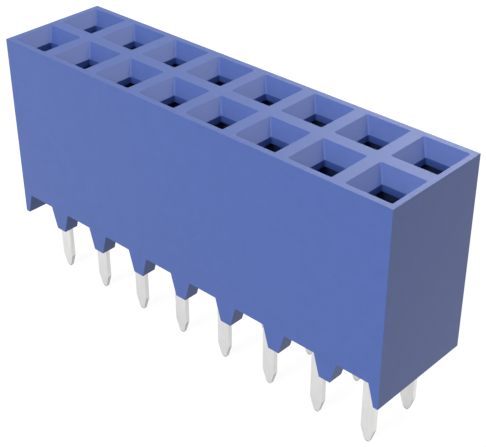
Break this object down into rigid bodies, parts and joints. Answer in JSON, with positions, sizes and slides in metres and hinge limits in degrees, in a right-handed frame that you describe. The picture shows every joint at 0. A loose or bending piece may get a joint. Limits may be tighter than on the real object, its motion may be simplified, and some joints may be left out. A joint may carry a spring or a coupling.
{
  "type": "rectangular connector",
  "caption": "Vertical board socket: a moulded housing with funnelled square entries and castellated feet, holding folded spring contacts that end in solder tails.",
  "frame": {"origin": "on the board plane, midway between the rows and midway along them", "axes": "+X along the rows, +Y across them, +Z from the board towards the mating face"},
  "size_m": [0.0202, 0.005, 0.0116],
  "materials": {
    "housing_blue": "satin moulded plastic, blue",
    "contact_tin": "bright tin plate, silver-grey"
  },
  "bodies": {
    "root": {"housing": "housing_blue", "contact_front_1": "contact_tin", "contact_front_2": "contact_tin", "contact_front_3": "contact_tin", "contact_front_4": "contact_tin", "contact_front_5": "contact_tin", "contact_front_6": "contact_tin", "contact_front_7": "contact_tin", "contact_front_8": "contact_tin", "contact_back_1": "contact_tin", "contact_back_2": "contact_tin", "contact_back_3": "contact_tin", "contact_back_4": "contact_tin", "contact_back_5": "contact_tin", "contact_back_6": "contact_tin", "contact_back_7": "contact_tin", "contact_back_8": "contact_tin"}
  },
  "joints": []
}
